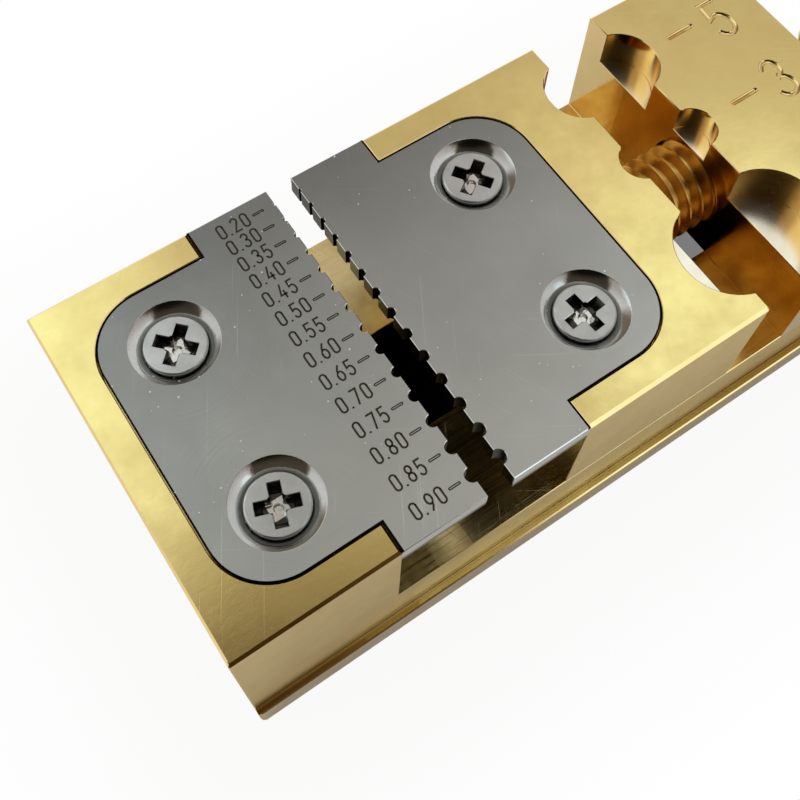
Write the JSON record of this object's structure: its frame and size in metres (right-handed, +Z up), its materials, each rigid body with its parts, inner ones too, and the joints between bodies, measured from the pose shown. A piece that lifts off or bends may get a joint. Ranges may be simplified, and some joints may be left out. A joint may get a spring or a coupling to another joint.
{
  "type": "watchmakers bench vise",
  "caption": "Small brass vise with graduated notched steel jaw plates, a keyed sliding jaw block with half-round pockets, and a lead screw turned by a knurled knob.",
  "frame": {"origin": "middle of the whole vise's box, on the bench face under it", "axes": "+X along the vise towards the knob, +Y across it towards the smallest notch, +Z up"},
  "size_m": [0.0646, 0.0242, 0.0175],
  "materials": {
    "brass": "fine milled and lapped brass, bright along its edges",
    "hardened_steel": "satin lapped hardened steel with fine scratches",
    "screw_steel": "bright turned steel"
  },
  "bodies": {
    "bed": {"bed": "brass", "fixed_jaw_plate": "hardened_steel", "fixed_plate_screw_near": "screw_steel", "fixed_plate_screw_far": "screw_steel"},
    "moving_jaw": {"moving_block": "brass", "moving_jaw_plate": "hardened_steel", "moving_plate_screw_near": "screw_steel", "moving_plate_screw_far": "screw_steel", "guide_key": "hardened_steel", "key_dowel_left": "screw_steel", "key_dowel_right": "screw_steel", "keeper_plate": "hardened_steel", "keeper_screw_left": "screw_steel", "keeper_screw_right": "screw_steel", "retaining_pin_near": "screw_steel", "retaining_pin_far": "screw_steel", "thrust_pad": "screw_steel"},
    "spindle": {"lead_screw": "brass", "knob": "brass", "knob_grub_screw": "screw_steel"}
  },
  "joints": [
    {"name": "jaw_slide", "type": "slide", "parent": "bed", "child": "moving_jaw", "axis": [1, 0, 0], "range_m": [-0.00175, 0.0047]},
    {"name": "spindle_turn", "type": "hinge", "parent": "moving_jaw", "child": "spindle", "pos_m": [0.0224, 0, 0.0115], "axis": [1, 0, 0], "range_deg": [-631, 1693]}
  ],
  "couplings": [
    {"joint": "spindle_turn", "follows": "jaw_slide", "rad_per_m": 6283.2}
  ]
}
